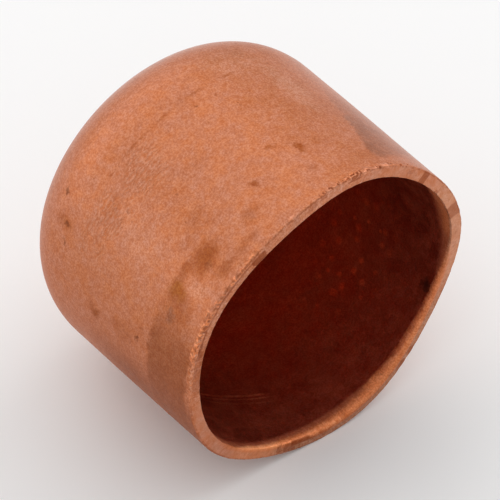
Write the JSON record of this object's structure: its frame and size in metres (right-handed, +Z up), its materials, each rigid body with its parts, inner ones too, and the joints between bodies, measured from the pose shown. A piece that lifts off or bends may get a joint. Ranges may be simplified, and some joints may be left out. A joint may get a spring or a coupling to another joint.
{
  "type": "pipe cap",
  "caption": "Domed copper end cap with a plain solder socket, which closes the end of a copper tube.",
  "frame": {"origin": "the centre of the mouth, on the cap's axis, in the plane that its edge reaches", "axes": "+Y along the cap's axis from the mouth to the domed end, +Z up, +X to the right when looking into the dome along +Y"},
  "size_m": [0.0174, 0.0147, 0.0174],
  "materials": {
    "copper": "satin, tarnished bare copper"
  },
  "bodies": {
    "root": {"cap": "copper"}
  },
  "joints": []
}
